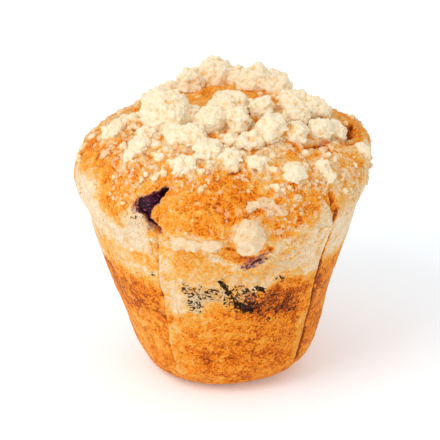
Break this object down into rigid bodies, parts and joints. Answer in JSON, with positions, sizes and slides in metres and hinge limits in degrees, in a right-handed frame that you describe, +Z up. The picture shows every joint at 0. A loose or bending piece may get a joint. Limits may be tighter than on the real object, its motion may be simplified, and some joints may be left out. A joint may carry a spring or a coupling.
{
  "type": "muffin",
  "caption": "Large blueberry crumb muffin with a domed crown, a tapered folded wall, berries that show and lumps of crumb topping.",
  "frame": {"origin": "middle of the flat base, on the surface that the muffin stands on", "axes": "+Z up through the crown; -Y is the front, where the berries show; +X is to the right of the front"},
  "size_m": [0.0909, 0.0986, 0.0944],
  "materials": {
    "cake": "dry baked crust, golden brown low on the wall and on the dome, pale cream between",
    "crumb": "dry granular butter crumb",
    "berry": "moist dark purple berry skin"
  },
  "bodies": {
    "root": {"berry_in_split": "berry", "berry_in_wall": "berry", "berry_under_rim": "berry", "cake": "cake", "crumb_arch": "crumb", "crumb_arch_right": "crumb", "crumb_back_edge": "crumb", "crumb_back_low": "crumb", "crumb_back_low_left": "crumb", "crumb_back_low_middle": "crumb", "crumb_back_low_right": "crumb", "crumb_back_middle": "crumb", "crumb_back_peak": "crumb", "crumb_back_right": "crumb", "crumb_back_slope_left": "crumb", "crumb_back_slope_right": "crumb", "crumb_far_right": "crumb", "crumb_front_left": "crumb", "crumb_front_middle": "crumb", "crumb_front_right": "crumb", "crumb_left_edge": "crumb", "crumb_left_low": "crumb", "crumb_left_peak": "crumb", "crumb_left_slope": "crumb", "crumb_lip": "crumb", "crumb_low_left": "crumb", "crumb_low_middle": "crumb", "crumb_low_right": "crumb", "crumb_pale_patch": "crumb", "crumb_right_edge": "crumb", "crumb_right_ridge": "crumb", "crumb_right_slope": "crumb", "crumb_rim": "crumb", "crumb_round": "crumb"}
  },
  "joints": []
}
